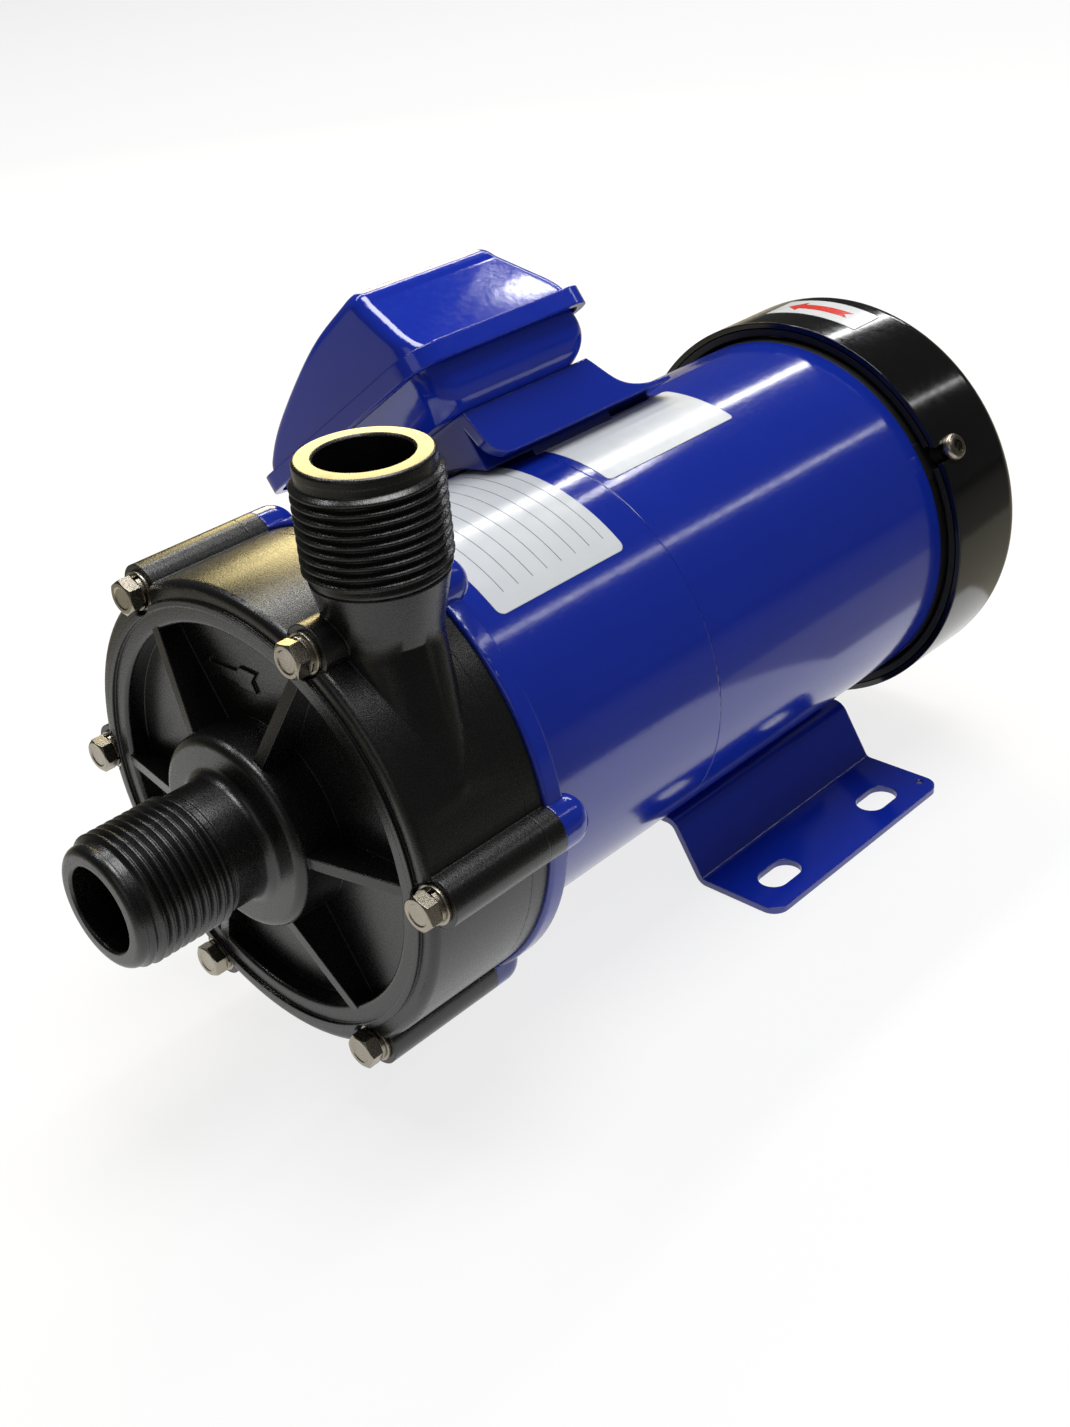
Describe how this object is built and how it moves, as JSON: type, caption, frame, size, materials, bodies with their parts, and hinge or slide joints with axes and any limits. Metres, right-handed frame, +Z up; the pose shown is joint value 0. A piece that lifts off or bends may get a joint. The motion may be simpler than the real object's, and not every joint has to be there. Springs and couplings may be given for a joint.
{
  "type": "magnetic drive pump",
  "caption": "Close-coupled magnetic drive centrifugal pump with threaded end inlet and top outlet, fan-cooled motor, terminal box and slotted foot.",
  "frame": {"origin": "middle of the four foot slots, on the underside of the foot", "axes": "+Z up and along the outlet, -Y out of the inlet along the shaft, +Y towards the fan, +X to the right seen from the inlet side"},
  "size_m": [0.1556, 0.289, 0.17],
  "materials": {
    "black_moulding": "semi-matt",
    "ceramic": "polished",
    "rubber": "matt",
    "carbon": "satin",
    "ferrite": "ground",
    "blue_paint": "gloss",
    "stainless": "bright",
    "iron": "machined",
    "black_steel": "oil black",
    "steel": "ground",
    "lamination": "stamped",
    "aluminium": "as cast",
    "copper": "varnished",
    "fan_plastic": "matt",
    "black_cover": "gloss",
    "brass": "bright",
    "block_plastic": "satin",
    "black_paint": "gloss"
  },
  "bodies": {
    "pump_and_motor_case": {"front_casing": "black_moulding", "mouth_ring": "ceramic", "rear_casing": "black_moulding", "casing_o_ring": "rubber", "spindle": "ceramic", "front_thrust_ring": "ceramic", "rear_thrust_ring": "ceramic", "bracket": "blue_paint", "casing_bolts": "stainless", "casing_lock_washers": "stainless", "casing_flat_washers": "stainless", "stator_core": "lamination", "stator_windings": "copper", "front_bearing_outer_ring": "steel", "rear_bearing_outer_ring": "steel", "wave_washer": "steel", "motor_housing": "blue_paint", "rear_end_bell": "black_paint", "tie_bolts": "black_steel", "fan_cover": "black_cover", "fan_cover_screws": "stainless", "foot": "blue_paint", "foot_screws": "stainless", "terminal_box_base": "blue_paint", "terminal_box_gasket": "rubber", "terminal_box_lid": "blue_paint", "terminal_box_lid_screws": "stainless", "terminal_box_screws": "stainless", "earth_screw": "brass", "terminal_block": "block_plastic", "terminal_screws": "brass", "cable_grommet": "rubber"},
    "motor_rotor": {"motor_shaft": "steel", "rotor_core": "lamination", "rotor_end_rings": "aluminium", "drive_yoke": "iron", "yoke_set_screws": "black_steel", "drive_magnets": "ferrite", "front_bearing_inner_ring": "steel", "rear_bearing_inner_ring": "steel", "fan": "fan_plastic", "fan_clip": "black_steel"},
    "impeller_rotor": {"impeller": "black_moulding", "impeller_bush": "carbon", "magnet_capsule": "black_moulding", "inner_magnet": "ferrite"},
    "front_ball_set": {"front_bearing_balls": "steel", "front_bearing_cage": "steel"},
    "rear_ball_set": {"rear_bearing_balls": "steel", "rear_bearing_cage": "steel"}
  },
  "joints": [
    {"name": "motor_spin", "type": "hinge", "parent": "pump_and_motor_case", "child": "motor_rotor", "pos_m": [0, 0, 0.071], "axis": [0, 1, 0], "continuous": true},
    {"name": "impeller_spin", "type": "hinge", "parent": "pump_and_motor_case", "child": "impeller_rotor", "pos_m": [0, -0.1165, 0.071], "axis": [0, 1, 0], "continuous": true},
    {"name": "front_balls_roll", "type": "hinge", "parent": "pump_and_motor_case", "child": "front_ball_set", "pos_m": [0, -0.049, 0.071], "axis": [0, 1, 0], "continuous": true},
    {"name": "rear_balls_roll", "type": "hinge", "parent": "pump_and_motor_case", "child": "rear_ball_set", "pos_m": [0, 0.039, 0.071], "axis": [0, 1, 0], "continuous": true}
  ],
  "couplings": [
    {"joint": "impeller_spin", "follows": "motor_spin", "ratio": 1},
    {"joint": "front_balls_roll", "follows": "motor_spin", "ratio": 0.38},
    {"joint": "rear_balls_roll", "follows": "motor_spin", "ratio": 0.38}
  ]
}
